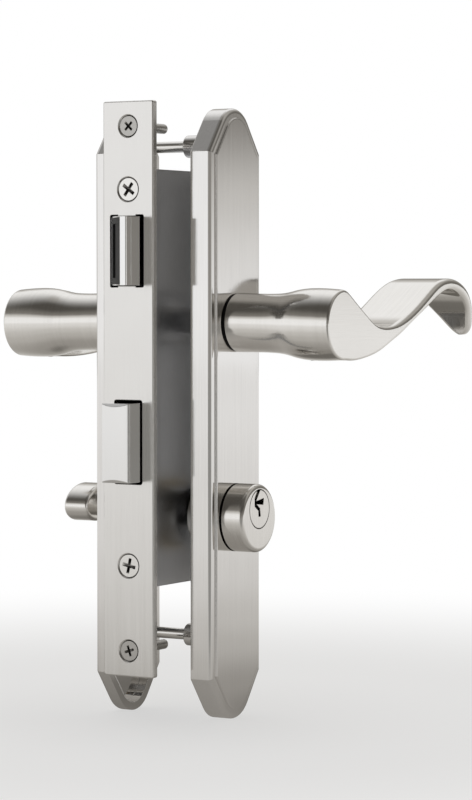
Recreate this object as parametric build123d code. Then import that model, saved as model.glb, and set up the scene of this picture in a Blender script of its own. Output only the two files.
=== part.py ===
from build123d import *
import math
import os

os.makedirs("parts", exist_ok=True)

# Mortise lever lockset for a thin door, in millimetres.
# +X points out of the exterior side, -Y out of the door's edge, +Z up.
# The origin is on the spindle's axis, half way through the door.

# Door and layout
door_thickness = 35.0
backset = 31.0
cylinder_drop = 66.4
slide_gap = 0.3
turn_gap = 0.06
thread_gap = 0.1

# Escutcheons
plate_width = 35.0
plate_shoulder_length = 187.0
plate_end_angle = 37.0
plate_tip_radius = 11.4
plate_centre_drop = 33.0
exterior_plate_thickness = 9.0
interior_plate_thickness = 6.0
plate_shoulder_round = 1.6
plate_panel_inset = 3.3
plate_panel_rise = 0.7
plate_panel_round = 0.45
plate_wall = 3.0
plate_skin = 2.5
post_radius = 4.0
post_end_x = 6.0
through_screw_radius = 2.0
through_screw_head_radius = 4.0
through_screw_head_height = 2.2
through_screw_recess = 2.2
through_screw_upper_z = 63.0
through_screw_lower_z = -113.0
through_screw_reach = 12.0

# Levers, with x counted outwards from the plate's face
lever_reach = 43.5
lever_length = 106.2
neck_radius = 10.6
waist_radius = 10.45
waist_x = 14.5
flare_x = 21.2
flare_radius = 11.05
swell_x = 25.7
swell_radius = 12.1
crown_x = 34.0
bulb_radius = 12.75
bulb_face_radius = 12.2
heel = 14.0
bulb_drop = 0.65
stem_trim = 0.6
ribbon_width = 23.3
face_crease = 0.8
ribbon_rim = 1.9
tip_z = -5.5
tip_thickness = 3.4
flange_thickness = 0.4
neck_edge = 0.35
journal_radius = 7.9
sleeve_wall = 1.3
ring_thickness = 0.9
ring_width = 3.0
ring_groove_depth = 0.7
ring_mouth = 9.0
spindle_side = 8.0
spindle_bite = 18.0
set_screw_radius = 2.0
set_screw_x = 8.5

# Lock cylinder
cap_radius = 12.2
cap_length = 8.6
cap_round = 1.6
cap_stand_off = 0.5
plug_offset = 3.3
housing_radius = 10.9
housing_length = 14.5
plug_radius = 6.2
plug_head_radius = 6.8
plug_head_length = 2.0
plug_head_gap = 0.3
plug_tail_length = 1.8
pin_count = 4
pin_pitch = 3.1
pin_radius = 1.1
pin_gap = 0.1
first_pin_setback = 2.8
key_pin_tip = 2.5
driver_length = 2.6
pin_spring_wire = 0.34
pin_spring_turns = 4
pin_cover_width = 4.0
pin_cover_thickness = 1.2
pin_cover_depth = 0.4
tail_width = 5.0
tail_thickness = 1.6
nut_length = 3.0
nut_wall = 1.5

# Thumbturn
grip_length = 21.0
grip_height = 13.2
grip_thickness = 10.2
grip_stand_off = 7.8
grip_round = 1.2
grip_tilt = 12.0
thumb_collar_radius = 7.8
thumb_collar_thickness = 2.2
thumb_stem_radius = 5.0

# Faceplate and its screws
face_height = 203.2
face_width = 20.8
face_thickness = 2.5
face_top = 78.0
face_corner = 0.8
face_bevel = 0.35
edge_screw_upper_z = 69.2
edge_screw_lower_z = -116.1
edge_screw_head_radius = 3.55
edge_screw_radius = 1.75
edge_screw_length = 25.0
edge_screw_sink = 0.4
edge_screw_recess = 2.0
edge_screw_turns = (45, -18)
case_screw_upper_z = 47.0
case_screw_lower_z = -85.9
case_screw_head_radius = 4.0
case_screw_radius = 2.5
case_screw_length = 10.0
case_screw_sink = 0.35
case_screw_recess = 2.75
case_screw_turns = (36, 12)
screw_rim = 0.2
flat_head_slope = 1.15
recess_arm_share = 0.42
recess_depth_share = 0.75

# Lock case
case_width = 19.0
case_wall = 1.5
case_depth = 44.5
case_top = 54.0
case_bottom = -93.0
boss_width = 12.0
boss_height = 9.0
cover_screw_radius = 1.4
cover_screw_length = 7.0
cover_screw_recess = 1.6
cover_post_radius = 2.8
cover_post_inset = 4.0
cover_post_front_y = -14.0

# Latch bolt and follower hub
latch_height = 24.2
latch_centre_z = 25.3
latch_left_x = -6.9
latch_right_x = 5.7
latch_nose = 2.5
latch_throw = 10.2
latch_inside_length = 14.0
latch_side_gap = 0.9
latch_notch_width = 3.4
latch_notch_depth = 0.7
latch_notch_corner = 0.65
pad_thickness = 1.6
pad_edge = 0.4
pad_panel_depth = 0.5
pad_panel_border = 2.2
tail_bar_height = 7.0
tail_bar_half_width = 4.0
lug_thickness = 3.0
hub_radius = 9.0
hub_half_width = 4.0
hub_journal_radius = 7.4
arm_radius = 15.0
arm_tip_radius = 2.5
arm_half_width = 3.5
lever_travel = 40.0
latch_spring_radius = 2.8
latch_spring_wire = 0.8
latch_spring_turns = 7
spring_peg_radius = 1.8
spring_peg_length = 6.0
hub_spring_radius = 8.6
hub_spring_wire = 0.8
hub_spring_turns = 2
hub_spring_arm_leg = 12.0
hub_spring_case_leg = 10.0
hub_peg_radius = 1.2
hub_peg_place = 12.0
arm_half_thickness = 1.6
tail_bar_length = 19.5

# Deadbolt and its hub
deadbolt_width = 10.7
deadbolt_height = 27.9
deadbolt_rise = 24.3
deadbolt_throw = 9.5
deadbolt_crown = 0.8
deadbolt_edge = 0.3
deadbolt_side_gap = 0.55
deadbolt_end_gap = 1.0
deadbolt_opening_corner = 0.9
thumb_travel = 90.0
finger_tip_radius = 2.0
finger_width = 3.2
finger_half_width = 3.0
slot_wall = 3.0
deadbolt_hub_radius = 4.9
deadbolt_journal_radius = 4.3
leaf_thickness = 0.5
leaf_width = 6.0
leaf_rise = 3.0
leaf_length = 30.0
guide_rail_height = 4.0

# Planes that several pieces share
exterior_door_x = door_thickness / 2
exterior_face_x = exterior_door_x + exterior_plate_thickness
interior_face_x = -door_thickness / 2 - interior_plate_thickness
face_front_y = -backset
face_back_y = face_front_y + face_thickness
case_back_y = face_back_y + case_depth
case_half = case_width / 2
cavity_half = case_half - case_wall
plug_z = -cylinder_drop
deadbolt_centre_z = plug_z + deadbolt_rise
housing_z = plug_z - plug_offset
housing_rear_x = exterior_face_x - housing_length
plug_face_x = exterior_face_x + cap_stand_off + cap_length
ON_BASE = (Align.CENTER, Align.CENTER, Align.MIN)


def rod_x(radius, x0, x1, y=0, z=0):
    return Pos(x0, y, z) * Rot(0, 90, 0) * Cylinder(radius, x1 - x0, align=ON_BASE)


def rod_y(radius, y0, y1, x=0, z=0):
    return Pos(x, y0, z) * Rot(-90, 0, 0) * Cylinder(radius, y1 - y0, align=ON_BASE)


def rod_z(radius, z0, z1, x=0, y=0):
    return Pos(x, y, z0) * Cylinder(radius, z1 - z0, align=ON_BASE)


def block(x0, x1, y0, y1, z0, z1):
    centre = Pos((x0 + x1) / 2, (y0 + y1) / 2, (z0 + z1) / 2)
    return centre * Box(x1 - x0, y1 - y0, z1 - z0)


def prism_x(points, x0, x1):
    face = Plane.YZ * make_face(Polyline(*points, close=True))
    return Pos(x0, 0, 0) * extrude(face, x1 - x0)


def save(name, *solids):
    shape = solids[0] if len(solids) == 1 else Compound(children=list(solids))
    export_step(shape, os.path.join("parts", name + ".step"))


# A flat or pan head screw along +Y, with its head's top at the origin and a cross recess
def cross_recess(size):
    arm = size * recess_arm_share
    depth = size * recess_depth_share
    bars = block(-size, size, -depth, depth, -arm / 2, arm / 2)
    bars += block(-arm / 2, arm / 2, -depth, depth, -size, size)
    cone = Rot(-90, 0, 0) * Cone(size, size * 0.25, depth, align=ON_BASE)
    return bars & cone


def flat_screw(head_radius, radius, length, recess):
    cone_height = (head_radius - radius) * flat_head_slope
    head = rod_y(head_radius, 0, screw_rim)
    cone = Rot(-90, 0, 0) * Cone(head_radius, radius, cone_height, align=ON_BASE)
    shank = rod_y(radius, 0, length - radius)
    point = Rot(-90, 0, 0) * Cone(radius, radius / 3, radius, align=ON_BASE)
    body = head + Pos(0, screw_rim, 0) * cone + shank + Pos(0, length - radius, 0) * point
    return body - cross_recess(recess)


def countersink(head_radius, radius, sink):
    rise = sink + 2 * screw_rim
    mouth = head_radius + thread_gap + rise / flat_head_slope
    throat = radius + thread_gap
    depth = (mouth - throat) * flat_head_slope
    return Pos(0, screw_rim - rise, 0) * Rot(-90, 0, 0) * Cone(mouth, throat, depth, align=ON_BASE)


# Escutcheon with its back at x = 0 and its face at x = thickness
def plate_outline():
    half = plate_width / 2
    shoulder = plate_shoulder_length / 2
    apex = shoulder + half / math.tan(math.radians(plate_end_angle))
    corners = [
        (half, shoulder), (0, apex), (-half, shoulder),
        (-half, -shoulder), (0, -apex), (half, -shoulder)]
    outline = make_face(Polyline(*corners, close=True))
    tips = outline.vertices().filter_by(lambda v: abs(v.X) < half / 2)
    return Pos(0, -plate_centre_drop) * fillet(tips, plate_tip_radius)


def escutcheon(thickness):
    outline = plate_outline()
    ledge = thickness - plate_panel_rise
    base = extrude(Plane.YZ * outline, ledge)
    shoulder = base.edges().filter_by_position(Axis.X, ledge - 0.01, ledge + 0.01)
    panel = extrude(Plane.YZ * offset(outline, -plate_panel_inset), thickness)
    crest = panel.edges().filter_by_position(Axis.X, thickness - 0.01, thickness + 0.01)
    plate = fillet(shoulder, plate_shoulder_round) + fillet(crest, plate_panel_round)
    cavity = extrude(Plane.YZ * offset(outline, -plate_wall), thickness - plate_skin)
    return plate - cavity


lever_sleeve_radius = journal_radius + turn_gap + sleeve_wall
lever_hole_radius = lever_sleeve_radius + turn_gap
through_screw_heights = (through_screw_upper_z, through_screw_lower_z)

exterior_plate = Pos(exterior_door_x, 0, 0) * escutcheon(exterior_plate_thickness)
exterior_plate -= rod_x(lever_hole_radius, exterior_door_x, exterior_face_x)
exterior_plate -= rod_x(housing_radius + thread_gap, exterior_door_x, exterior_face_x, 0, housing_z)
post_root_x = exterior_face_x - plate_skin / 2
for z in through_screw_heights:
    exterior_plate += rod_x(post_radius, post_end_x, post_root_x, 0, z)
for z in through_screw_heights:
    exterior_plate -= rod_x(
        through_screw_radius + thread_gap, post_end_x, exterior_face_x - plate_skin, 0, z)
save("exterior_escutcheon", exterior_plate)

interior_plate = mirror(escutcheon(interior_plate_thickness), about=Plane.YZ)
interior_plate = Pos(-exterior_door_x, 0, 0) * interior_plate
interior_plate -= rod_x(lever_hole_radius, interior_face_x, -exterior_door_x)
interior_plate -= rod_x(thumb_stem_radius + turn_gap, interior_face_x, -exterior_door_x, 0, plug_z)
for z in through_screw_heights:
    interior_plate -= rod_x(through_screw_radius + slide_gap, interior_face_x, -exterior_door_x, 0, z)
save("interior_escutcheon", interior_plate)

# Through screws: pan heads on the interior plate, shanks into the posts of the exterior plate
through_screws = []
head_top_x = interior_face_x - through_screw_head_height
for z in through_screw_heights:
    head = rod_x(through_screw_head_radius, head_top_x, interior_face_x)
    crown = head.edges().filter_by_position(Axis.X, head_top_x - 0.01, head_top_x + 0.01)
    head = fillet(crown, through_screw_head_height * 0.6)
    shank = rod_x(through_screw_radius, interior_face_x, through_screw_reach)
    recess = cross_recess(through_screw_recess)
    screw = head + shank - Pos(head_top_x, 0, 0) * Rot(0, 0, -90) * recess
    through_screws.append(Pos(0, 0, z) * screw)
save("through_screws", *through_screws)

# Wave lever with x counted outwards from the plate's face. A turned neck swells into a bulb with a flat
# outer face, and a ribbon leaves the bulb, dips, rises to a crest and curls down to a leaf-shaped tip.
lever_base_x = flange_thickness + slide_gap
ring_x = -plate_skin - slide_gap - ring_thickness
journal_end_x = ring_x - ring_thickness
bulb_top = bulb_face_radius - bulb_drop
bulb_bottom = -bulb_face_radius - bulb_drop
bulb_crown = bulb_radius - bulb_face_radius

# Each station of the ribbon: its lower and upper point as (share of the lever's length, height),
# the setback of its rear and front edge from the lever's outer face, the round of its rim,
# and how far its rear edge stands over its front edge where it leaves the bulb
ribbon_stations = [
    ((0, bulb_bottom), (0, bulb_top), heel, 0, face_crease, bulb_crown * 0.8),
    ((0.047, -13.2), (0.047, 9.7), ribbon_width * 0.69, 0, face_crease),
    ((0.104, -13.0), (0.099, 6.4), ribbon_width * 0.81, 0, face_crease),
    ((0.18, -12.0), (0.161, 2.7), ribbon_width * 0.92, 0, face_crease * 1.2),
    ((0.26, -10.2), (0.227, -0.6), ribbon_width * 0.98, 0, face_crease * 1.5),
    ((0.341, -7.3), (0.298, -1.5), ribbon_width, 0, face_crease * 2),
    ((0.417, -4.4), (0.379, -0.5), ribbon_width * 1.02, 0, ribbon_rim),
    ((0.492, -0.8), (0.469, 2.5), ribbon_width * 1.035, 0, ribbon_rim),
    ((0.573, 3.0), (0.551, 6.4), ribbon_width * 1.04, 0, ribbon_rim),
    ((0.653, 7.0), (0.631, 10.9), ribbon_width * 1.025, 0, ribbon_rim),
    ((0.72, 9.9), (0.701, 14.4), ribbon_width * 0.98, 0, ribbon_rim),
    ((0.786, 11.5), (0.781, 15.8), ribbon_width * 0.93, 0, ribbon_rim),
    ((0.852, 10.6), (0.866, 14.6), ribbon_width * 0.9, 0, ribbon_rim),
    ((0.905, 8.0), (0.932, 11.2), ribbon_width * 0.86, 0.2, ribbon_rim),
    ((0.943, 3.9), (0.974, 6.3), ribbon_width * 0.74, 0.7, ribbon_rim),
    ((0.959, -0.6), (0.994, 0.2), ribbon_width * 0.56, 1.4, ribbon_rim),
    ((0.966, -3.6), (0.999, -3.4), ribbon_width * 0.43, 2.5, ribbon_rim),
    ((0.967, -4.8), (1, -4.8), ribbon_width * 0.36, 3.6, ribbon_rim),
    ((1 - tip_thickness / lever_length, tip_z), (1, tip_z), ribbon_width * 0.29, 5.2, ribbon_rim),
]


def ribbon_section(lower, upper, rear, front, rim, rear_rise=0):
    low = Vector(0, lower[0] * lever_length, lower[1])
    high = Vector(0, upper[0] * lever_length, upper[1])
    height = (high - low).length / 2
    width = (rear - front) / 2
    middle = (low + high) * 0.5 + Vector(lever_reach - (rear + front) / 2, 0, 0)
    plane = Plane(origin=middle, x_dir=(1, 0, 0), z_dir=Vector(1, 0, 0).cross(high - low))
    rear_height = height + rear_rise
    corners = [(width, height), (-width, rear_height), (-width, -rear_height), (width, -height)]
    outline = make_face(Polyline(*corners, close=True))
    return plane * fillet(outline.vertices(), min(rim, height * 0.94, width * 0.94))


def open_ring(inner, outer, x0, x1, mouth):
    ring = rod_x(outer, x0, x1) - rod_x(inner, x0, x1)
    return ring - block(x0, x1, -mouth / 2, mouth / 2, -outer, 0)


def lever():
    start_x = lever_base_x - stem_trim
    end_x = lever_reach + stem_trim
    profile = Spline(
        (start_x, neck_radius), (waist_x, waist_radius), (flare_x, flare_radius),
        (swell_x, swell_radius), (crown_x, bulb_radius), (end_x, bulb_face_radius),
        tangents=[(1, -0.02), (1, -0.09)])
    axis_side = Polyline((end_x, bulb_face_radius), (end_x, 0), (start_x, 0), (start_x, neck_radius))
    stem = revolve(make_face([profile, axis_side]), Axis.X)
    stem = Rot(0, math.degrees(math.atan(bulb_drop / lever_reach)), 0) * stem
    wide = bulb_radius * 2
    stem &= block(lever_base_x, lever_reach, -wide, wide, -wide, wide)
    rim = stem.edges().filter_by_position(Axis.X, lever_reach - 0.01, lever_reach + 0.01)
    stem = fillet(rim, face_crease)
    foot = stem.edges().filter_by_position(Axis.X, lever_base_x - 0.01, lever_base_x + 0.01)
    stem = fillet(foot, neck_edge)
    heel_x = lever_reach - heel
    stem -= block(heel_x, lever_reach, 0, wide, -wide, wide)
    dip = [(upper[0] * lever_length, upper[1]) for lower, upper, *edges in ribbon_stations[1:6]]
    crown = Spline((0, bulb_top), *dip, tangents=[(1, -0.45), (1, 0.05)])
    sky_z = bulb_top * 2
    sky = make_face([crown, Polyline(dip[-1], (dip[-1][0], sky_z), (0, sky_z), (0, bulb_top))])
    stem -= Pos(flare_x, 0, 0) * extrude(Plane.YZ * sky, heel_x - flare_x)
    ribbon = loft([ribbon_section(*station) for station in ribbon_stations])
    grip = stem + ribbon
    grip += rod_x(journal_radius, journal_end_x, lever_base_x)
    groove = rod_x(journal_radius, ring_x - turn_gap, ring_x + ring_thickness + turn_gap)
    grip -= groove - rod_x(journal_radius - ring_groove_depth, journal_end_x, lever_base_x)
    half = spindle_side / 2 + turn_gap
    return grip - block(journal_end_x, spindle_bite, -half, half, -half, half)


def lever_bushing():
    bush = rod_x(lever_sleeve_radius, -plate_skin, 0) + rod_x(neck_radius - slide_gap, 0, flange_thickness)
    return bush - rod_x(journal_radius + turn_gap, -plate_skin, flange_thickness)


def lever_ring():
    inner = journal_radius - ring_groove_depth + turn_gap
    return open_ring(inner, inner + ring_width, ring_x, ring_x + ring_thickness, ring_mouth)


to_exterior = Pos(exterior_face_x, 0, 0)
to_interior = Pos(interior_face_x, 0, 0)
one_lever = lever()
save("exterior_lever", to_exterior * one_lever)
save("exterior_lever_bushing", to_exterior * lever_bushing())
save("exterior_retaining_ring", to_exterior * lever_ring())

set_screw_z = -spindle_side / 2 - turn_gap
set_screw_end_z = -waist_radius + slide_gap
inner_lever = mirror(one_lever, about=Plane.YZ)
inner_lever -= rod_z(set_screw_radius + turn_gap, -neck_radius * 2, set_screw_z, -set_screw_x)
save("interior_lever", to_interior * inner_lever)
save("interior_lever_bushing", to_interior * mirror(lever_bushing(), about=Plane.YZ))
save("interior_retaining_ring", to_interior * mirror(lever_ring(), about=Plane.YZ))

set_screw = rod_z(set_screw_radius, set_screw_end_z, set_screw_z)
hexagon = extrude(RegularPolygon(set_screw_radius * 0.55, 6), set_screw_radius)
set_screw -= Pos(0, 0, set_screw_end_z) * hexagon
save("lever_set_screw", Pos(interior_face_x - set_screw_x, 0, 0) * set_screw)

# Square spindle through both levers and the follower hub
spindle_half = spindle_side / 2
spindle_end = spindle_bite - slide_gap
spindle = block(
    interior_face_x - spindle_end, exterior_face_x + spindle_end,
    -spindle_half, spindle_half, -spindle_half, spindle_half)
save("spindle", spindle)

# Lock cylinder: a round housing with the plug's bore above its middle and the pin chambers below
cap_x = exterior_face_x + cap_stand_off
chamber_radius = pin_radius + pin_gap
pin_places = [exterior_face_x - first_pin_setback - pin_pitch * i for i in range(pin_count)]
cover_bottom = housing_z - housing_radius + pin_cover_depth
cover_top = cover_bottom + pin_cover_thickness
cover_front_x = pin_places[0] + chamber_radius + pin_gap
cover_rear_x = pin_places[-1] - chamber_radius - pin_gap
shear_top = plug_z - math.sqrt(plug_radius**2 - chamber_radius**2) + turn_gap
shear_bottom = plug_z - plug_radius - 2 * turn_gap
driver_bottom = shear_bottom - driver_length

housing = rod_x(housing_radius, housing_rear_x, cap_x, 0, housing_z)
housing += rod_x(housing_radius + cap_stand_off, exterior_face_x, cap_x, 0, housing_z)
cap = rod_x(cap_radius, cap_x, plug_face_x, 0, housing_z)
cap_rim = cap.edges().filter_by_position(Axis.X, plug_face_x - 0.01, plug_face_x + 0.01)
housing += fillet(cap_rim, cap_round)
housing -= rod_x(plug_radius + turn_gap, housing_rear_x, plug_face_x, 0, plug_z)
head_seat_x = plug_face_x - plug_head_length
housing -= rod_x(plug_head_radius + plug_head_gap, head_seat_x - turn_gap, plug_face_x, 0, plug_z)
for x in pin_places:
    housing -= rod_z(chamber_radius, cover_bottom, plug_z, x)
cover_half = pin_cover_width / 2
housing -= block(
    cover_rear_x, cover_front_x, -cover_half - turn_gap, cover_half + turn_gap,
    housing_z - housing_radius, cover_top)
save("cylinder_housing", housing)

chamber_cover = block(
    cover_rear_x + turn_gap, cover_front_x - turn_gap, -cover_half, cover_half, cover_bottom, cover_top)
save("pin_chamber_cover", chamber_cover)

# Plug with a zigzag keyway that breaks its upper edge, and a clip groove behind the housing
plug_rear_x = housing_rear_x - plug_tail_length
plug_ring_x = housing_rear_x - slide_gap - ring_thickness
keyway_end_x = pin_places[-1] - chamber_radius - pin_gap
plug = rod_x(plug_radius, plug_rear_x, plug_face_x) + rod_x(plug_head_radius, head_seat_x, plug_face_x)
keyway = [
    [(0.9, 7.2), (-1.2, 7.4), (-3.5, 4.0), (-3.4, 2.3), (-2.6, 2.3), (-1.9, 3.6)],
    [(-3.4, 2.8), (3.1, 3.75), (2.7, 1.4), (-3.4, 2.0)],
    [(-3.5, 2.2), (-2.1, 1.9), (0.4, 0.2), (0.9, -2.6), (-0.7, -2.7), (-0.9, -0.5), (-3.4, 1.1)],
]
for points in keyway:
    plug -= prism_x(points, keyway_end_x, plug_face_x)
for x in pin_places:
    plug -= rod_z(chamber_radius, -plug_radius * 2, -key_pin_tip, x)
groove = rod_x(plug_radius, plug_ring_x - turn_gap, plug_ring_x + ring_thickness + turn_gap)
groove -= rod_x(plug_radius - ring_groove_depth, plug_rear_x, plug_face_x)
plug -= groove
tail_slot_half = tail_width / 2 + turn_gap
tail_slot_side = tail_thickness / 2 + turn_gap
plug -= block(plug_rear_x, housing_rear_x, -tail_slot_side, tail_slot_side, -tail_slot_half, tail_slot_half)
save("cylinder_plug", Pos(0, 0, plug_z) * plug)

plug_ring_inner = plug_radius - ring_groove_depth + turn_gap
plug_ring_outer = plug_ring_inner + ring_width * 0.7
plug_ring = open_ring(
    plug_ring_inner, plug_ring_outer, plug_ring_x, plug_ring_x + ring_thickness, ring_mouth * 0.8)
save("plug_retainer", Pos(0, 0, plug_z) * plug_ring)


def coil_spring(radius, wire, turns, length, first_leg=0, last_leg=0):
    coil = Helix(length / turns, length, radius)
    first = Plane(origin=coil @ 0, z_dir=coil % 0) * Circle(wire / 2)
    last = Plane(origin=coil @ 1, z_dir=coil % 1) * Circle(wire / 2)
    spring = sweep(first, path=coil, is_frenet=True)
    if first_leg:
        spring += extrude(first, -first_leg)
    if last_leg:
        spring += extrude(last, last_leg)
    return spring


key_pins = []
driver_pins = []
pin_springs = []
spring_bottom = cover_top + pin_spring_wire / 2
spring_top = driver_bottom - pin_spring_wire / 2
spring_height = spring_top - spring_bottom - 2 * turn_gap
pin_spring = coil_spring(pin_radius - pin_spring_wire, pin_spring_wire, pin_spring_turns, spring_height)
pin_shoulder_z = plug_z - key_pin_tip - turn_gap - pin_radius
for x in pin_places:
    point = Pos(x, 0, pin_shoulder_z) * Cone(pin_radius, pin_radius / 4, pin_radius, align=ON_BASE)
    key_pins.append(rod_z(pin_radius, shear_top, pin_shoulder_z, x) + point)
    driver_pins.append(rod_z(pin_radius, driver_bottom, shear_bottom, x))
    pin_springs.append(Pos(x, 0, spring_bottom + turn_gap) * pin_spring)
save("key_pins", *key_pins)
save("driver_pins", *driver_pins)
save("pin_springs", *pin_springs)

tail_inner_x = turn_gap


def flat_tail(x0, x1):
    return block(x0, x1, -tail_thickness / 2, tail_thickness / 2, -tail_width / 2, tail_width / 2)


save("cylinder_tailpiece", Pos(0, 0, plug_z) * flat_tail(tail_inner_x, housing_rear_x))

nut_front_x = exterior_face_x - plate_skin
nut_radius = housing_radius + thread_gap + nut_wall
nut = rod_x(nut_radius, nut_front_x - nut_length, nut_front_x)
nut -= rod_x(housing_radius + thread_gap, 0, nut_front_x)
for side in (-1, 1):
    nut -= Pos(nut_front_x - nut_length, side * nut_radius, 0) * Box(nut_length, nut_wall * 1.4, nut_length)
save("cylinder_nut", Pos(0, 0, housing_z) * nut)

# Thumbturn: an oval grip on a stem, held behind the interior plate by a clip, with a flat tail
grip_base_x = interior_face_x - grip_stand_off
grip = extrude(Plane.YZ * Ellipse(grip_length / 2, grip_height / 2), -grip_thickness)
grip = Pos(grip_base_x, 0, 0) * Rot(grip_tilt, 0, 0) * fillet(grip.edges(), grip_round)
thumb_ring_x = interior_face_x + plate_skin + slide_gap
stem_end_x = thumb_ring_x + 2 * ring_thickness
thumbturn = grip + rod_x(thumb_stem_radius, grip_base_x, stem_end_x)
collar_x = interior_face_x - slide_gap
thumbturn += rod_x(thumb_collar_radius, collar_x - thumb_collar_thickness, collar_x)
thumbturn += flat_tail(stem_end_x, -tail_inner_x)
thumb_groove = rod_x(thumb_stem_radius, thumb_ring_x - turn_gap, thumb_ring_x + ring_thickness + turn_gap)
thumb_groove -= rod_x(thumb_stem_radius - ring_groove_depth, thumb_ring_x - turn_gap, stem_end_x)
save("thumbturn", Pos(0, 0, plug_z) * (thumbturn - thumb_groove))

thumb_ring_inner = thumb_stem_radius - ring_groove_depth + turn_gap
thumb_ring_outer = thumb_ring_inner + ring_width * 0.7
thumb_ring = open_ring(
    thumb_ring_inner, thumb_ring_outer, thumb_ring_x, thumb_ring_x + ring_thickness, ring_mouth * 0.7)
save("thumbturn_clip", Pos(0, 0, plug_z) * thumb_ring)

# Faceplate with countersunk holes and the two bolt openings
latch_top = latch_centre_z + latch_height / 2
latch_bottom = latch_centre_z - latch_height / 2
deadbolt_top = deadbolt_centre_z + deadbolt_height / 2
deadbolt_bottom = deadbolt_centre_z - deadbolt_height / 2
deadbolt_half = deadbolt_width / 2


def latch_opening(y0, y1):
    left = latch_left_x - slide_gap * 2
    right = latch_right_x + latch_side_gap
    hole = block(left, right, y0, y1, latch_bottom - slide_gap, latch_top + slide_gap)
    for x0, x1 in ((left, left + latch_notch_width), (right - latch_notch_width, right)):
        hole += block(x0, x1, y0, y1, latch_bottom - latch_notch_depth, latch_top + latch_notch_depth)
    sides = hole.edges().filter_by(Axis.Y).sort_by(Axis.X)
    return fillet(sides[:2] + sides[-2:], latch_notch_corner)


def deadbolt_opening(y0, y1):
    side = deadbolt_half + deadbolt_side_gap
    bottom = deadbolt_bottom - deadbolt_end_gap
    hole = block(-side, side, y0, y1, bottom, deadbolt_top + deadbolt_end_gap)
    return fillet(hole.edges().filter_by(Axis.Y), deadbolt_opening_corner)


edge_heights = (edge_screw_upper_z, edge_screw_lower_z)
case_heights = (case_screw_upper_z, case_screw_lower_z)
faceplate = block(
    -face_width / 2, face_width / 2, face_front_y, face_back_y, face_top - face_height, face_top)
faceplate = fillet(faceplate.edges().filter_by(Axis.Y), face_corner)
front_edges = faceplate.edges().filter_by_position(Axis.Y, face_front_y - 0.01, face_front_y + 0.01)
faceplate = chamfer(front_edges, face_bevel)
faceplate -= latch_opening(face_front_y, face_back_y)
faceplate -= deadbolt_opening(face_front_y, face_back_y)
for z in edge_heights:
    seat = countersink(edge_screw_head_radius, edge_screw_radius, edge_screw_sink)
    faceplate -= Pos(0, face_front_y + edge_screw_sink, z) * seat
    faceplate -= rod_y(edge_screw_radius + thread_gap, face_front_y, face_back_y, 0, z)
for z in case_heights:
    seat = countersink(case_screw_head_radius, case_screw_radius, case_screw_sink)
    faceplate -= Pos(0, face_front_y + case_screw_sink, z) * seat
    faceplate -= rod_y(case_screw_radius + thread_gap, face_front_y, face_back_y, 0, z)
save("faceplate", faceplate)



def screw_pair(screw, sink, heights, turns):
    return [Pos(0, face_front_y + sink, z) * Rot(0, turn, 0) * screw for z, turn in zip(heights, turns)]


edge_screw = flat_screw(edge_screw_head_radius, edge_screw_radius, edge_screw_length, edge_screw_recess)
save("edge_screws", *screw_pair(edge_screw, edge_screw_sink, edge_heights, edge_screw_turns))
case_screw = flat_screw(case_screw_head_radius, case_screw_radius, case_screw_length, case_screw_recess)
save("case_screws", *screw_pair(case_screw, case_screw_sink, case_heights, case_screw_turns))

# Lock case: a tray open towards the interior side, closed by a flat cover with four screws
case_front_y = face_back_y
cavity_front_y = case_front_y + case_wall
cavity_back_y = case_back_y - case_wall
boss_back_y = face_front_y + case_screw_length + case_wall
post_heights = (case_top - case_wall - cover_post_inset, case_bottom + case_wall + cover_post_inset)
post_places = [(y, z) for y in (cover_post_front_y, cavity_back_y - cover_post_inset) for z in post_heights]
leaf_crown_z = deadbolt_top + slide_gap
leaf_end_z = leaf_crown_z + leaf_rise
leaf_middle_y = (cavity_front_y + cavity_back_y) / 2
peg_radius = leaf_rise * 0.5
peg_z = leaf_end_z + leaf_thickness + peg_radius + turn_gap
spring_axis_z = latch_top - latch_spring_radius - latch_spring_wire * 2

case = block(-cavity_half, case_half, case_front_y, case_back_y, case_bottom, case_top)
case -= block(
    -cavity_half, cavity_half, cavity_front_y, cavity_back_y, case_bottom + case_wall, case_top - case_wall)
for z in case_heights:
    case += block(
        -boss_width / 2, cavity_half, cavity_front_y, boss_back_y, z - boss_height / 2, z + boss_height / 2)
for y, z in post_places:
    case += rod_x(cover_post_radius, -cavity_half, cavity_half, y, z)
    case -= rod_x(cover_screw_radius + thread_gap, -cavity_half, cover_screw_length - cavity_half, y, z)
for z in case_heights:
    case -= rod_y(case_screw_radius + thread_gap, case_front_y, boss_back_y, 0, z)
case -= latch_opening(case_front_y, cavity_front_y)
case -= deadbolt_opening(case_front_y, cavity_front_y)
case += block(
    deadbolt_half + slide_gap, cavity_half, cavity_front_y, cavity_back_y,
    deadbolt_centre_z - guide_rail_height / 2, deadbolt_centre_z + guide_rail_height / 2)
for side in (-1, 1):
    case += rod_x(peg_radius, -cavity_half, cavity_half, leaf_middle_y + side * leaf_length * 0.45, peg_z)
case += rod_y(spring_peg_radius, cavity_back_y - spring_peg_length, cavity_back_y, 0, spring_axis_z)
case -= rod_x(hub_journal_radius + turn_gap, cavity_half, case_half)
case -= rod_x(deadbolt_journal_radius + turn_gap, cavity_half, case_half, 0, plug_z)

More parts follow.
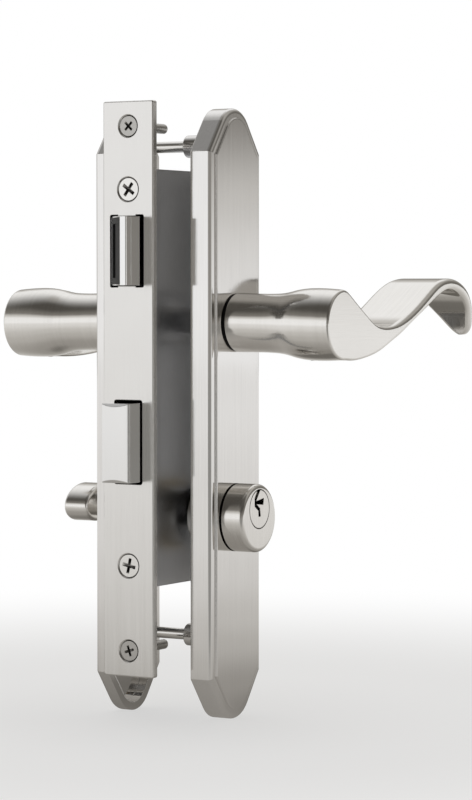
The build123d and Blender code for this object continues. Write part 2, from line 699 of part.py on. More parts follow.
cover = block(-case_half, -cavity_half, case_front_y, case_back_y, case_bottom, case_top)
cover += block(
    -cavity_half, -deadbolt_half - slide_gap, cavity_front_y + slide_gap, cavity_back_y - slide_gap,
    deadbolt_centre_z - guide_rail_height / 2, deadbolt_centre_z + guide_rail_height / 2)
cover -= rod_x(hub_journal_radius + turn_gap, -case_half, -cavity_half)
cover -= rod_x(deadbolt_journal_radius + turn_gap, -case_half, -cavity_half, 0, plug_z)
cover_head_radius = cover_screw_radius + (case_wall - screw_rim - thread_gap) / flat_head_slope
cover_screw = flat_screw(cover_head_radius, cover_screw_radius, cover_screw_length, cover_screw_recess)
cover_screws = []
for y, z in post_places:
    place = Pos(-case_half, y, z) * Rot(0, 0, -90)
    cover -= place * countersink(cover_head_radius, cover_screw_radius, 0)
    cover -= rod_x(cover_screw_radius + thread_gap, -case_half, -cavity_half, y, z)
    cover_screws.append(place * cover_screw)
save("case_cover", cover)
save("cover_screws", *cover_screws)

# Latch bolt: a head with a bevel towards the interior side and a tail with a lug for the hub's arm
latch_nose_y = face_front_y - latch_throw
latch_rear_y = face_front_y + latch_inside_length
arm_rest = -lever_travel / 2
arm_tip_y = arm_radius * math.sin(math.radians(arm_rest))
arm_tip_z = arm_radius * math.cos(math.radians(arm_rest))
lug_front_y = arm_tip_y + arm_tip_radius + slide_gap
lug_bottom_z = arm_tip_z - arm_tip_radius / 2
tail_bottom_z = arm_radius + arm_tip_radius + slide_gap * 4
bevel_x = latch_right_x - latch_nose
bevel_outline = [
    (latch_right_x, latch_rear_y), (latch_right_x, latch_nose_y), (bevel_x, latch_nose_y),
    (latch_left_x, face_front_y), (latch_left_x, latch_rear_y)]
latch = extrude(make_face(Polyline(*bevel_outline, close=True)), latch_height)
latch = Pos(0, 0, latch_bottom) * latch
nose_edges = latch.edges().filter_by(Axis.Z).sort_by(Axis.Y)[:2]
latch = fillet(nose_edges, latch_nose * 0.2)
latch += block(
    -tail_bar_half_width, tail_bar_half_width, latch_rear_y, latch_rear_y + tail_bar_length,
    tail_bottom_z, tail_bottom_z + tail_bar_height)
latch += block(
    -tail_bar_half_width, tail_bar_half_width, lug_front_y, lug_front_y + lug_thickness,
    lug_bottom_z, tail_bottom_z)

# Nylon pad let into the bevel, with a sunk panel
bevel_middle = ((bevel_x + latch_left_x) / 2, (latch_nose_y + face_front_y) / 2, latch_centre_z)
bevel_run = bevel_x - latch_left_x
bevel_plane = Plane(
    origin=bevel_middle, x_dir=(bevel_run, -latch_throw, 0), z_dir=(-latch_throw, -bevel_run, 0))
pad_length = math.hypot(bevel_run, latch_throw) - 2 * pad_edge
pad_height = latch_height - 2 * pad_edge
latch -= extrude(bevel_plane * Rectangle(pad_length, pad_height), -pad_thickness)
save("latch_bolt", latch)

pad = extrude(bevel_plane * Rectangle(pad_length - 2 * turn_gap, pad_height - 2 * turn_gap), -pad_thickness)
panel = Rectangle(pad_length - 2 * pad_panel_border, pad_height - 2 * pad_panel_border)
save("latch_bevel_pad", pad - extrude(bevel_plane * panel, -pad_panel_depth))

latch_spring_y = latch_rear_y + turn_gap + latch_spring_wire / 2
latch_spring_length = cavity_back_y - turn_gap - latch_spring_wire / 2 - latch_spring_y
latch_spring = coil_spring(latch_spring_radius, latch_spring_wire, latch_spring_turns, latch_spring_length)
save("latch_spring", Pos(0, latch_spring_y, spring_axis_z) * Rot(-90, 0, 0) * latch_spring)


# Follower hub on the spindle: its arm draws the latch bolt's lug back
def arm_up(radius, tip_radius, half_thickness, half_width):
    bar = block(-half_width, half_width, -half_thickness, half_thickness, 0, radius)
    return bar + rod_x(tip_radius, -half_width, half_width, 0, radius)


hub_spring_x = hub_half_width + slide_gap * 2 + hub_spring_wire / 2
hub_spring_end_x = cavity_half - slide_gap * 2 - hub_spring_wire / 2
follower = rod_x(hub_radius, -hub_half_width, hub_half_width)
follower += rod_x(hub_journal_radius, -case_half, case_half)
arm = arm_up(arm_radius, arm_tip_radius, arm_half_thickness, arm_half_width)
arm += rod_x(hub_peg_radius, 0, hub_spring_x + hub_spring_wire, 0, hub_peg_place)
follower += Rot(-arm_rest, 0, 0) * arm
bore_half = spindle_side / 2 + turn_gap
follower -= block(-case_half, case_half, -bore_half, bore_half, -bore_half, bore_half)
save("follower_hub", follower)

# Return spring round the hub's journal: its legs leave the coil straight, one over the peg of the hub's
# arm and one over a peg of the case
leg_offset = hub_peg_radius + hub_spring_wire / 2 + turn_gap
leg_lead = math.degrees(math.acos((hub_spring_radius - leg_offset) / hub_peg_place))
coil_start = arm_rest + leg_lead
coil_end = coil_start + 360 * hub_spring_turns
hub_spring = coil_spring(
    hub_spring_radius, hub_spring_wire, hub_spring_turns, hub_spring_end_x - hub_spring_x,
    hub_spring_arm_leg, hub_spring_case_leg)
hub_spring = Rot(0, 90, 0) * Rot(0, 0, 180 - coil_start) * mirror(hub_spring, about=Plane.XZ)
save("hub_return_spring", Pos(hub_spring_x, 0, 0) * hub_spring)

case_peg_place = hub_spring_case_leg - hub_peg_radius
case_peg_side = hub_spring_radius - leg_offset
case_peg = rod_x(
    hub_peg_radius, hub_spring_end_x - hub_spring_wire, cavity_half, case_peg_place, case_peg_side)
case += Rot(-coil_end, 0, 0) * case_peg
save("lock_case", case)

# Deadbolt with a slotted yoke under its tail, moved by the finger of its own hub
deadbolt_nose_y = face_front_y - deadbolt_throw
finger_rest = -thumb_travel / 2
finger_radius = deadbolt_throw / 2 / math.sin(math.radians(thumb_travel / 2))
yoke_y = -deadbolt_throw / 2
yoke_slot = finger_tip_radius + slide_gap
yoke_rear_y = yoke_y + yoke_slot + slot_wall
yoke_bottom_z = plug_z + deadbolt_hub_radius + slide_gap * 2
yoke_top_z = plug_z + finger_radius + finger_tip_radius + slide_gap
crown_y = deadbolt_nose_y + deadbolt_crown
bolt_front = ThreePointArc((-deadbolt_half, crown_y), (0, deadbolt_nose_y), (deadbolt_half, crown_y))
bolt_back = Polyline(
    (deadbolt_half, crown_y), (deadbolt_half, yoke_rear_y), (-deadbolt_half, yoke_rear_y),
    (-deadbolt_half, crown_y))
deadbolt = Pos(0, 0, deadbolt_bottom) * extrude(make_face([bolt_front, bolt_back]), deadbolt_height)
bevel = deadbolt_crown + deadbolt_edge
for end_z, side in ((deadbolt_top, 1), (deadbolt_bottom, -1)):
    waste_y = deadbolt_nose_y - bevel
    waste_z = end_z + side * bevel
    waste = [(waste_y, waste_z), (deadbolt_nose_y + 2 * bevel, waste_z), (waste_y, end_z - side * 2 * bevel)]
    deadbolt -= prism_x(waste, -deadbolt_width, deadbolt_width)
deadbolt += block(
    -deadbolt_half, deadbolt_half, yoke_y - yoke_slot - slot_wall, yoke_rear_y,
    yoke_bottom_z, deadbolt_bottom)
deadbolt -= block(
    -deadbolt_half, deadbolt_half, yoke_y - yoke_slot, yoke_y + yoke_slot, yoke_bottom_z, yoke_top_z)
save("deadbolt", deadbolt)

deadbolt_hub = rod_x(deadbolt_hub_radius, slide_gap - cavity_half, cavity_half - slide_gap)
deadbolt_hub += rod_x(deadbolt_journal_radius, -case_half, case_half)
finger = arm_up(finger_radius, finger_tip_radius, finger_width / 2, finger_half_width)
deadbolt_hub += Rot(-finger_rest, 0, 0) * finger
tail_gap = slide_gap / 2
deadbolt_hub -= block(
    -case_half, case_half, -tail_thickness / 2 - tail_gap, tail_thickness / 2 + tail_gap,
    -tail_width / 2 - tail_gap, tail_width / 2 + tail_gap)
save("deadbolt_hub", Pos(0, 0, plug_z) * deadbolt_hub)

# Bowed leaf spring that rubs on the deadbolt, its ends under two pegs of the case
leaf_front_y = leaf_middle_y - leaf_length / 2
leaf_back_y = leaf_middle_y + leaf_length / 2
under = ThreePointArc((leaf_front_y, leaf_end_z), (leaf_middle_y, leaf_crown_z), (leaf_back_y, leaf_end_z))
ends = [
    Line((leaf_front_y, leaf_end_z), (leaf_front_y, leaf_end_z + leaf_thickness)),
    Line((leaf_back_y, leaf_end_z), (leaf_back_y, leaf_end_z + leaf_thickness))]
leaf = make_face([under, Pos(0, leaf_thickness) * under, *ends])
save("deadbolt_leaf_spring", extrude(Plane.YZ * leaf, leaf_width / 2, both=True))
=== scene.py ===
import bpy
from mathutils import Matrix, Vector


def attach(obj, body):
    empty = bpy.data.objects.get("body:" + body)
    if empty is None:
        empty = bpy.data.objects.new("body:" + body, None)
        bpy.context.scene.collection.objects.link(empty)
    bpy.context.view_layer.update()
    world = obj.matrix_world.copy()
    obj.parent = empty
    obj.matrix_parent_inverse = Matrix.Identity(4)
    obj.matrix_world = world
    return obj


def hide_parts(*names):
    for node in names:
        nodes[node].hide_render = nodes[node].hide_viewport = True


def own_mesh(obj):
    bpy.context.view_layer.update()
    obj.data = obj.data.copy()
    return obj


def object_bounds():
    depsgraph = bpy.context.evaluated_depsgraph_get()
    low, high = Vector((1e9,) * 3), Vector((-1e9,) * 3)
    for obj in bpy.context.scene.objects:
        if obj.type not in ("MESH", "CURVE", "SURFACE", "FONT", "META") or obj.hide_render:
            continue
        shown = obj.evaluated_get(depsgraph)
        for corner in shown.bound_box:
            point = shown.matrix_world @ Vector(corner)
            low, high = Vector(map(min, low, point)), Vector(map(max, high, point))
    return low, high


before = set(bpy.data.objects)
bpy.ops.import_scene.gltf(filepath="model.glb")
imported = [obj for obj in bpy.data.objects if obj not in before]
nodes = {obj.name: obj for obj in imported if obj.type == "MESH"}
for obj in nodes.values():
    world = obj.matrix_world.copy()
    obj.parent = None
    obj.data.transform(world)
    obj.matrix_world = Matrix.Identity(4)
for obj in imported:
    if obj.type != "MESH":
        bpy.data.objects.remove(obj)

# Lock case and its cover: a pressed steel box let into the door's edge, closed by a flat cover.
# The steel is zinc plated, which leaves a faint cloudy spangle and a soft grey shine.
cad_low, cad_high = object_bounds()


def link(tree, source, target):
    tree.links.new(source, target)


def new_group(name, inputs, outputs):
    """An empty shader group with sockets given as (name, type), and its two end nodes."""
    group = bpy.data.node_groups.new(name, "ShaderNodeTree")
    for socket, kind in inputs:
        group.interface.new_socket(socket, in_out="INPUT", socket_type="NodeSocket" + kind)
    for socket, kind in outputs:
        group.interface.new_socket(socket, in_out="OUTPUT", socket_type="NodeSocket" + kind)
    return group, group.nodes.new("NodeGroupInput"), group.nodes.new("NodeGroupOutput")


def brushed_grain_group():
    """Fine parallel scratches and a slow change of tone, both from 0 to 1."""
    group, given, result = new_group(
        "brushed_grain", [("Place", "Vector"), ("Lines per metre", "Vector")],
        [("Scratches", "Float"), ("Tone", "Float")])
    stretch = group.nodes.new("ShaderNodeVectorMath")
    stretch.operation = "MULTIPLY"
    link(group, given.outputs["Place"], stretch.inputs[0])
    link(group, given.outputs["Lines per metre"], stretch.inputs[1])
    scratches = group.nodes.new("ShaderNodeTexNoise")
    scratches.inputs["Scale"].default_value = 1.0
    scratches.inputs["Detail"].default_value = 4.0
    scratches.inputs["Roughness"].default_value = 0.65
    link(group, stretch.outputs["Vector"], scratches.inputs["Vector"])
    tone = group.nodes.new("ShaderNodeTexNoise")
    tone.inputs["Scale"].default_value = 55.0
    tone.inputs["Detail"].default_value = 2.0
    link(group, given.outputs["Place"], tone.inputs["Vector"])
    link(group, scratches.outputs["Fac"], result.inputs["Scratches"])
    link(group, tone.outputs["Fac"], result.inputs["Tone"])
    return group


def soft_edge_group():
    """The normal of an edge rounded by handling and plating."""
    group, given, result = new_group("soft_edge", [("Width", "Float")], [("Normal", "Vector")])
    rounded = group.nodes.new("ShaderNodeBevel")
    rounded.samples = 6
    link(group, given.outputs["Width"], rounded.inputs["Radius"])
    link(group, rounded.outputs["Normal"], result.inputs["Normal"])
    return group


brushed_grain = brushed_grain_group()
soft_edge = soft_edge_group()


def use_group(tree, group, **values):
    node = tree.nodes.new("ShaderNodeGroup")
    node.node_tree = group
    for name, value in values.items():
        node.inputs[name.replace("_", " ")].default_value = value
    return node


def plated(name, colour, shade, shine, lines, depth, edge=0.00025, face_axis=None, face_lines=None,
           polished_from=None, shade_reach=None):
    """Plated metal brushed with so many lines a metre along each axis, and another way on the faces
    that look along face_axis. Its tone runs from shade to colour, its roughness over shine.
    Faces that look up or down beyond polished_from, along Y, are polished. Slots and narrow gaps, found by
    ambient occlusion, are darkened with a painted shade."""
    streak_share = 0.7
    painted_shade_colour = (0.02, 0.018, 0.015, 1)
    polish_run = 0.012
    polished_roughness = 0.05
    level_height = 0.5
    material = bpy.data.materials.new(name)
    material.use_nodes = True
    tree = material.node_tree
    metal = tree.nodes["Principled BSDF"]
    metal.inputs["Metallic"].default_value = 1.0
    place = tree.nodes.new("ShaderNodeTexCoord")
    grain = use_group(tree, brushed_grain, Lines_per_metre=lines)
    link(tree, place.outputs["Object"], grain.inputs["Place"])
    scratches = grain.outputs["Scratches"]
    if face_axis:
        face_grain = use_group(tree, brushed_grain, Lines_per_metre=face_lines)
        link(tree, place.outputs["Object"], face_grain.inputs["Place"])
        face = use_group(tree, facing, Axis=face_axis, From=0.6, To=0.85)
        link(tree, place.outputs["Normal"], face.inputs["Normal"])
        either = tree.nodes.new("ShaderNodeMix")
        link(tree, face.outputs["Mask"], either.inputs["Factor"])
        link(tree, scratches, either.inputs["A"])
        link(tree, face_grain.outputs["Scratches"], either.inputs["B"])
        scratches = either.outputs["Result"]
    tint = tree.nodes.new("ShaderNodeMix")
    tint.data_type = "RGBA"
    tint.inputs["A"].default_value = (*shade, 1)
    tint.inputs["B"].default_value = (*colour, 1)
    streaks = tree.nodes.new("ShaderNodeMix")
    streaks.inputs["Factor"].default_value = streak_share
    link(tree, grain.outputs["Tone"], streaks.inputs["A"])
    link(tree, scratches, streaks.inputs["B"])
    link(tree, streaks.outputs["Result"], tint.inputs["Factor"])
    paint = tint.outputs["Result"]
    # Painted shade: slots, sockets and narrow gaps are darkened to near-black where ambient occlusion finds
    # them closed in.
    if shade_reach:
        slot_shade = use_group(tree, painted_recess_shade, Reach=shade_reach)
        shaded_paint = tree.nodes.new("ShaderNodeMix")
        shaded_paint.data_type = "RGBA"
        shaded_paint.inputs["A"].default_value = painted_shade_colour
        link(tree, slot_shade.outputs["Open"], shaded_paint.inputs["Factor"])
        link(tree, paint, shaded_paint.inputs["B"])
        paint = shaded_paint.outputs["Result"]
    link(tree, paint, metal.inputs["Base Color"])
    rough = tree.nodes.new("ShaderNodeMapRange")
    rough.inputs["From Min"].default_value = 0.25
    rough.inputs["From Max"].default_value = 0.75
    rough.inputs["To Min"].default_value = shine[0]
    rough.inputs["To Max"].default_value = shine[1]
    link(tree, scratches, rough.inputs["Value"])
    roughness = rough.outputs["Result"]
    height = scratches
    if polished_from is not None:
        level = use_group(tree, facing, Axis=(0, 0, 1), From=0.35, To=0.7)
        link(tree, place.outputs["Normal"], level.inputs["Normal"])
        spot = tree.nodes.new("ShaderNodeSeparateXYZ")
        link(tree, place.outputs["Object"], spot.inputs["Vector"])
        beyond = tree.nodes.new("ShaderNodeMapRange")
        beyond.inputs["From Min"].default_value = polished_from
        beyond.inputs["From Max"].default_value = polished_from + polish_run
        link(tree, spot.outputs["Y"], beyond.inputs["Value"])
        polish = tree.nodes.new("ShaderNodeMath")
        polish.operation = "MULTIPLY"
        link(tree, level.outputs["Mask"], polish.inputs[0])
        link(tree, beyond.outputs["Result"], polish.inputs[1])
        smooth = tree.nodes.new("ShaderNodeMix")
        smooth.inputs["B"].default_value = polished_roughness
        link(tree, polish.outputs["Value"], smooth.inputs["Factor"])
        link(tree, roughness, smooth.inputs["A"])
        roughness = smooth.outputs["Result"]
        even = tree.nodes.new("ShaderNodeMix")
        even.inputs["B"].default_value = level_height
        link(tree, polish.outputs["Value"], even.inputs["Factor"])
        link(tree, scratches, even.inputs["A"])
        height = even.outputs["Result"]
    link(tree, roughness, metal.inputs["Roughness"])
    rim = use_group(tree, soft_edge, Width=edge)
    bump = tree.nodes.new("ShaderNodeBump")
    bump.inputs["Distance"].default_value = depth
    link(tree, height, bump.inputs["Height"])
    link(tree, rim.outputs["Normal"], bump.inputs["Normal"])
    link(tree, bump.outputs["Normal"], metal.inputs["Normal"])
    return material


def dress(material, *names):
    for name in names:
        mesh = nodes[name].data
        mesh.materials.clear()
        mesh.materials.append(material)


zinc_steel = plated(
    "zinc_steel", (0.66, 0.67, 0.69), (0.52, 0.53, 0.55), (0.28, 0.42), (900, 900, 300), 0.00001)
dress(zinc_steel, "lock_case", "case_cover", "cover_screws", "follower_hub", "deadbolt_hub")

# Faceplate: a brushed strip let flush into the door's edge, with the bolts' openings punched through it.
# Satin nickel over steel, brushed along its length, held by four cross-slotted screws.
face_nickel = plated(
    "face_nickel", (0.91, 0.90, 0.885), (0.74, 0.73, 0.715), (0.14, 0.28), (1500, 1500, 25), 0.00001)
dress(face_nickel, "faceplate")


def painted_recess_shade_group():
    """1 in the open, 0 deep in a slot, a socket or a narrow gap, read from ambient occlusion; it is used to
    paint shade into them.
    """
    group, given, result = new_group("painted_recess_shade", [("Reach", "Float")], [("Open", "Float")])
    closed, clear = 0.45, 0.8
    # Painted shade: occlusion within the reach marks where slots and gaps fall dark.
    hidden = group.nodes.new("ShaderNodeAmbientOcclusion")
    hidden.samples = 8
    link(group, given.outputs["Reach"], hidden.inputs["Distance"])
    spread = group.nodes.new("ShaderNodeMapRange")
    spread.inputs["From Min"].default_value = closed
    spread.inputs["From Max"].default_value = clear
    link(group, hidden.outputs["AO"], spread.inputs["Value"])
    link(group, spread.outputs["Result"], result.inputs["Open"])
    return group


painted_recess_shade = painted_recess_shade_group()
# The screws' cross slots and the rings round their heads are darkened with painted shade.
screw_nickel = plated(
    "screw_nickel", (0.88, 0.87, 0.85), (0.82, 0.81, 0.79), (0.10, 0.2), (800, 800, 800), 0.000004,
    shade_reach=0.0016)
dress(screw_nickel, "case_screws", "through_screws")
dull_nickel = plated(
    "dull_nickel", (0.60, 0.59, 0.57), (0.50, 0.49, 0.47), (0.24, 0.36), (800, 800, 800), 0.000006,
    shade_reach=0.0014)
dress(dull_nickel, "edge_screws")

# Latch bolt and deadbolt: sintered steel, nickel plated and polished where they leave the case.
# The latch's bevel carries a black nylon pad that quiets the strike.
bolt_nickel = plated(
    "bolt_nickel", (0.90, 0.90, 0.90), (0.85, 0.85, 0.85), (0.05, 0.1), (700, 700, 40), 0.000006,
    edge=0.00035)
dress(bolt_nickel, "latch_bolt", "deadbolt")


def moulded(name, colour, shade, roughness, depth):
    """Moulded plastic with a fine spark-eroded grain."""
    material = bpy.data.materials.new(name)
    material.use_nodes = True
    tree = material.node_tree
    plastic = tree.nodes["Principled BSDF"]
    plastic.inputs["Roughness"].default_value = roughness
    plastic.inputs["Specular IOR Level"].default_value = 0.12
    place = tree.nodes.new("ShaderNodeTexCoord")
    grain = use_group(tree, brushed_grain, Lines_per_metre=(2500, 2500, 2500))
    link(tree, place.outputs["Object"], grain.inputs["Place"])
    tint = tree.nodes.new("ShaderNodeMix")
    tint.data_type = "RGBA"
    tint.inputs["A"].default_value = (*shade, 1)
    tint.inputs["B"].default_value = (*colour, 1)
    link(tree, grain.outputs["Scratches"], tint.inputs["Factor"])
    link(tree, tint.outputs["Result"], plastic.inputs["Base Color"])
    bump = tree.nodes.new("ShaderNodeBump")
    bump.inputs["Distance"].default_value = depth
    link(tree, grain.outputs["Scratches"], bump.inputs["Height"])
    link(tree, bump.outputs["Normal"], plastic.inputs["Normal"])
    return material


black_nylon = moulded("black_nylon", (0.012, 0.012, 0.013), (0.006, 0.006, 0.007), 0.4, 0.00001)
dress(black_nylon, "latch_bevel_pad", "exterior_lever_bushing", "interior_lever_bushing")

# Springs and clips: hardened wire and strip, left bare and oiled, so they are dark and glossy.
# The latch's coil pushes its bolt out and would shorten as the bolt goes in; here it is a copy with its own
# mesh on the lock body, at one length. The hub's coil lifts the levers and the leaf holds the deadbolt.
spring_steel = plated(
    "spring_steel", (0.36, 0.36, 0.37), (0.27, 0.27, 0.29), (0.22, 0.36), (1500, 1500, 1500), 0.000004)
dress(
    spring_steel, "latch_spring", "hub_return_spring", "deadbolt_leaf_spring", "pin_springs",
    "exterior_retaining_ring", "interior_retaining_ring", "plug_retainer", "thumbturn_clip")
latch_coil = bpy.data.objects.new("latch_coil", nodes["latch_spring"].data.copy())
bpy.context.scene.collection.objects.link(latch_coil)
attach(latch_coil, "lock")
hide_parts("latch_spring")
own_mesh(latch_coil)

# Spindle: a square bar of drawn steel through both levers and the follower hub.
# A grub screw pins the inner lever to it.
drawn_steel = plated(
    "drawn_steel", (0.56, 0.56, 0.57), (0.46, 0.46, 0.48), (0.25, 0.4), (60, 2200, 2200), 0.000006)
dress(drawn_steel, "spindle", "lever_set_screw")

# Plates: long zinc castings with clipped ends, a rounded shoulder and a raised panel, one on each side
# of the door. Satin nickel, brushed up and down and bright enough to mirror the lever's neck.
plate_nickel = plated(
    "plate_nickel", (0.90, 0.89, 0.88), (0.74, 0.73, 0.72), (0.04, 0.1), (1500, 1500, 25), 0.000005,
    edge=0.0004)
dress(plate_nickel, "exterior_escutcheon", "interior_escutcheon")

# Levers: zinc castings on both sides, a turned neck and bulb that run out into a curling ribbon.
# Satin nickel, brushed round the neck and along the ribbon's flat outer face, polished above and below.


def facing_group():
    """1 where the surface faces either way along Axis, 0 where it faces across it."""
    group, given, result = new_group(
        "facing", [("Normal", "Vector"), ("Axis", "Vector"), ("From", "Float"), ("To", "Float")],
        [("Mask", "Float")])
    along = group.nodes.new("ShaderNodeVectorMath")
    along.operation = "DOT_PRODUCT"
    link(group, given.outputs["Normal"], along.inputs[0])
    link(group, given.outputs["Axis"], along.inputs[1])
    either = group.nodes.new("ShaderNodeMath")
    either.operation = "ABSOLUTE"
    link(group, along.outputs["Value"], either.inputs[0])
    mask = group.nodes.new("ShaderNodeMapRange")
    mask.interpolation_type = "SMOOTHSTEP"
    link(group, given.outputs["From"], mask.inputs["From Min"])
    link(group, given.outputs["To"], mask.inputs["From Max"])
    link(group, either.outputs["Value"], mask.inputs["Value"])
    link(group, mask.outputs["Result"], result.inputs["Mask"])
    return group


facing = facing_group()
lever_nickel = plated(
    "lever_nickel", (0.94, 0.925, 0.90), (0.74, 0.725, 0.70), (0.09, 0.17), (1400, 30, 30), 0.000012,
    face_axis=(1, 0, 0), face_lines=(40, 40, 1400), polished_from=0.02)
dress(lever_nickel, "exterior_lever", "interior_lever")

# Cylinder: a turned brass housing with a rounded cap, nickel plated, held in the exterior plate by a nut.
# Its plug turns with the key and carries the pins; the small parts inside are bare brass.
# Its keyway and the gap round the plug are darkened with painted shade.
cap_nickel = plated(
    "cap_nickel", (0.94, 0.925, 0.90), (0.70, 0.685, 0.66), (0.09, 0.17), (1400, 30, 30), 0.000012,
    face_axis=(1, 0, 0), face_lines=(40, 1400, 60), shade_reach=0.001)
dress(cap_nickel, "cylinder_housing", "cylinder_plug")
bare_brass = plated(
    "bare_brass", (0.78, 0.60, 0.32), (0.66, 0.49, 0.24), (0.22, 0.36), (2200, 60, 60), 0.000005)
dress(bare_brass, "key_pins", "driver_pins", "pin_chamber_cover", "cylinder_tailpiece", "cylinder_nut")

# Thumbturn: an oval zinc grip on a round stem, cast in one with its flat tail.
# Satin nickel like the levers, brushed round its rim.
dress(lever_nickel, "thumbturn")

# Studio: a pale floor under the plates that turns white away from them, and a broad soft sky. In reflections
# the floor glows with a painted shade, darkest near the plates.
# On the left the sky is white low down in front and high at the back; the right is mostly dark.
floor_z = cad_low.z
reach = 4.0
floor_mesh = bpy.data.meshes.new("floor")
floor_mesh.from_pydata(
    [(-reach, -reach, floor_z), (reach, -reach, floor_z), (reach, reach, floor_z), (-reach, reach, floor_z)],
    [], [(0, 1, 2, 3)])
floor = bpy.data.objects.new("floor", floor_mesh)
bpy.context.scene.collection.objects.link(floor)

paper = bpy.data.materials.new("floor_paper")
paper.use_nodes = True
paper_tree = paper.node_tree
matt = paper_tree.nodes["Principled BSDF"]
matt.inputs["Base Color"].default_value = (0.86, 0.84, 0.81, 1)
matt.inputs["Roughness"].default_value = 0.9
matt.inputs["Specular IOR Level"].default_value = 0.0
spot = paper_tree.nodes.new("ShaderNodeNewGeometry")


def grey_ramp(tree, share, stops):
    """A grey that goes through stops of a share and a level, warmer where it is darker."""
    less_green, less_blue = 0.07, 0.18
    ramp = tree.nodes.new("ShaderNodeValToRGB")
    ramp.color_ramp.interpolation = "EASE"
    elements = ramp.color_ramp.elements
    while len(elements) < len(stops):
        elements.new(0.5)
    for element, (position, level) in zip(elements, stops):
        warmth = 1 - level
        element.position = position
        element.color = (level, level * (1 - less_green * warmth), level * (1 - less_blue * warmth), 1)
    link(tree, share, ramp.inputs["Fac"])
    return ramp.outputs["Color"]


def by_distance(centre, stops):
    """A grey by the floor's distance from a centre, in metres, each stop a distance and a level."""
    away = paper_tree.nodes.new("ShaderNodeVectorMath")
    away.operation = "DISTANCE"
    away.inputs[1].default_value = (*centre, floor_z)
    link(paper_tree, spot.outputs["Position"], away.inputs[0])
    furthest = stops[-1][0]
    share = paper_tree.nodes.new("ShaderNodeMath")
    share.operation = "DIVIDE"
    share.inputs[1].default_value = furthest
    link(paper_tree, away.outputs["Value"], share.inputs[0])
    scaled = [(distance / furthest, level) for distance, level in stops]
    return grey_ramp(paper_tree, share.outputs["Value"], scaled)


def across(axis, start, stop):
    """0 to 1 as the floor's X or Y goes from start to stop."""
    share = paper_tree.nodes.new("ShaderNodeMapRange")
    share.interpolation_type = "SMOOTHSTEP"
    share.inputs["From Min"].default_value = start
    share.inputs["From Max"].default_value = stop
    link(paper_tree, corner.outputs[axis], share.inputs["Value"])
    return share.outputs["Result"]


def times(first, second):
    product = paper_tree.nodes.new("ShaderNodeMath")
    product.operation = "MULTIPLY"
    link(paper_tree, first, product.inputs[0])
    link(paper_tree, second, product.inputs[1])
    return product.outputs["Value"]


corner = paper_tree.nodes.new("ShaderNodeSeparateXYZ")
link(paper_tree, spot.outputs["Position"], corner.inputs["Vector"])
ray = paper_tree.nodes.new("ShaderNodeLightPath")
seen_white = times(
    ray.outputs["Is Camera Ray"], by_distance((0, 0), [(0, 0.6), (0.12, 0.66), (0.45, 1.0)]))
white = paper_tree.nodes.new("ShaderNodeEmission")
paper_seen = paper_tree.nodes.new("ShaderNodeMixShader")
link(paper_tree, seen_white, paper_seen.inputs[0])
link(paper_tree, matt.outputs["BSDF"], paper_seen.inputs[1])
link(paper_tree, white.outputs["Emission"], paper_seen.inputs[2])

# Painted shade for reflections: glossy rays see the floor as a glowing grey, darkest near the plates like a
# shadow pool and lightening far away,
painted_floor_shade = by_distance(
    (-0.03, 0.06),
    [(0, 0.16), (0.05, 0.17), (0.1, 0.34), (0.21, 0.5), (0.3, 0.58), (0.5, 0.7), (0.8, 0.78), (2.5, 0.86)])
# and a painted dark patch where X rises and Y falls.
painted_dark_patch = paper_tree.nodes.new("ShaderNodeMix")
painted_dark_patch.data_type = "RGBA"
painted_dark_patch.inputs["B"].default_value = (0.3, 0.295, 0.28, 1)
link(paper_tree, times(across("X", 0.0, 0.2), across("Y", 0.0, -0.2)), painted_dark_patch.inputs["Factor"])
link(paper_tree, painted_floor_shade, painted_dark_patch.inputs["A"])
painted_floor_glow = paper_tree.nodes.new("ShaderNodeEmission")
link(paper_tree, painted_dark_patch.outputs["Result"], painted_floor_glow.inputs["Color"])
paper_whole = paper_tree.nodes.new("ShaderNodeMixShader")
link(paper_tree, ray.outputs["Is Glossy Ray"], paper_whole.inputs[0])
link(paper_tree, paper_seen.outputs["Shader"], paper_whole.inputs[1])
link(paper_tree, painted_floor_glow.outputs["Emission"], paper_whole.inputs[2])
link(paper_tree, paper_whole.outputs["Shader"], paper_tree.nodes["Material Output"].inputs["Surface"])
floor_mesh.materials.append(paper)

sky = bpy.data.worlds.new("studio")
sky.use_nodes = True
bpy.context.scene.world = sky
sky_tree = sky.node_tree
light = sky_tree.nodes["Background"]
way = sky_tree.nodes.new("ShaderNodeTexCoord")
parts = sky_tree.nodes.new("ShaderNodeSeparateXYZ")
link(sky_tree, way.outputs["Generated"], parts.inputs["Vector"])


def sky_ramp(stops):
    """Brightness by height, from straight down at -1 to straight up at 1."""
    rise = sky_tree.nodes.new("ShaderNodeMapRange")
    rise.inputs["From Min"].default_value = -1.0
    link(sky_tree, parts.outputs["Z"], rise.inputs["Value"])
    scaled = [((height + 1) / 2, level) for height, level in stops]
    return grey_ramp(sky_tree, rise.outputs["Result"], scaled)


def sideways(axis, start, stop, first, second):
    """The sky first on one side and second on the other side of an axis."""
    share = sky_tree.nodes.new("ShaderNodeMapRange")
    share.interpolation_type = "SMOOTHSTEP"
    share.inputs["From Min"].default_value = start
    share.inputs["From Max"].default_value = stop
    link(sky_tree, parts.outputs[axis], share.inputs["Value"])
    mix = sky_tree.nodes.new("ShaderNodeMix")
    mix.data_type = "RGBA"
    link(sky_tree, share.outputs["Result"], mix.inputs["Factor"])
    link(sky_tree, first, mix.inputs["A"])
    link(sky_tree, second, mix.inputs["B"])
    return mix.outputs["Result"]


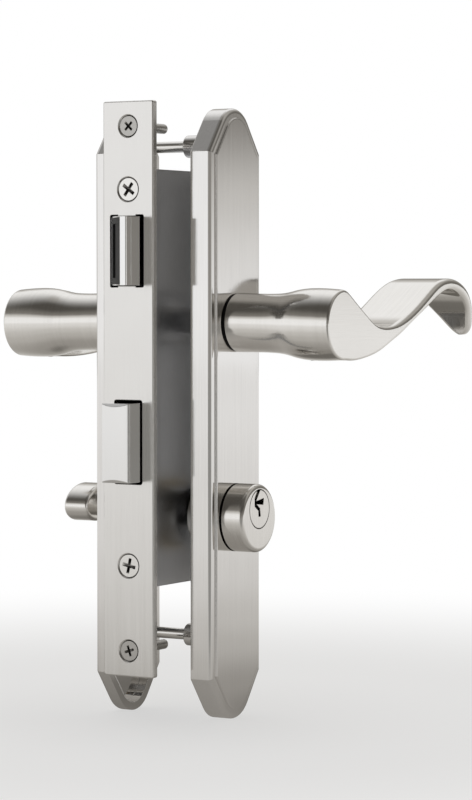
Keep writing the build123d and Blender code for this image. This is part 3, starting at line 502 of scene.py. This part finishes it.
front_left = sky_ramp([
    (-1, 0.8), (-0.1, 0.85), (0.0, 0.97), (0.2, 0.95), (0.31, 0.62), (0.42, 0.2), (0.7, 0.08), (0.9, 0.08),
    (1, 0.2)])
rear_left = sky_ramp([(-1, 0.6), (0.0, 0.3), (0.3, 0.34), (0.46, 0.6), (0.6, 0.95), (0.9, 0.95), (1, 0.6)])
front_right = sky_ramp([(-1, 0.3), (0.0, 0.3), (0.15, 0.2), (0.4, 0.08), (0.9, 0.1), (1, 0.2)])
rear_right = sky_ramp([
    (-1, 0.5), (-0.1, 0.8), (-0.03, 1.0), (0.01, 0.8), (0.03, 0.62), (0.06, 0.25), (0.1, 0.14), (0.3, 0.2),
    (0.6, 0.4), (1, 0.4)])
left = sideways("Y", -0.5, 0.5, front_left, rear_left)
right = sideways("Y", -0.25, 0.25, front_right, rear_right)
around = sideways("X", -0.15, 0.3, left, right)
seen = sky_tree.nodes.new("ShaderNodeLightPath")
shown = sky_tree.nodes.new("ShaderNodeMix")
shown.data_type = "RGBA"
shown.inputs["B"].default_value = (1, 1, 1, 1)
link(sky_tree, seen.outputs["Is Camera Ray"], shown.inputs["Factor"])
link(sky_tree, around, shown.inputs["A"])
link(sky_tree, shown.outputs["Result"], light.inputs["Color"])

# Camera: to the exterior side of the door's edge, a little above the spindle.
# A long lens keeps the plates' edges nearly parallel, as in the photograph.
camera_data = bpy.data.cameras.new("camera")
camera_data.lens = 130.13
camera_data.sensor_width = 36.0
camera_data.clip_start = 0.01
camera = bpy.data.objects.new("camera", camera_data)
bpy.context.scene.collection.objects.link(camera)
camera_right = Vector((0.8608, 0.5089, 0.0))
camera_back = Vector((0.5085, -0.8602, 0.0395)).normalized()
camera_up = camera_back.cross(camera_right).normalized()
camera_place = Vector((0.5514, -0.8890, 0.0131))
camera_turn = Matrix((camera_right, camera_up, camera_back)).transposed()
camera.matrix_world = Matrix.Translation(camera_place) @ camera_turn.to_4x4()
bpy.context.scene.camera = camera
bpy.context.scene.view_settings.view_transform = "Standard"
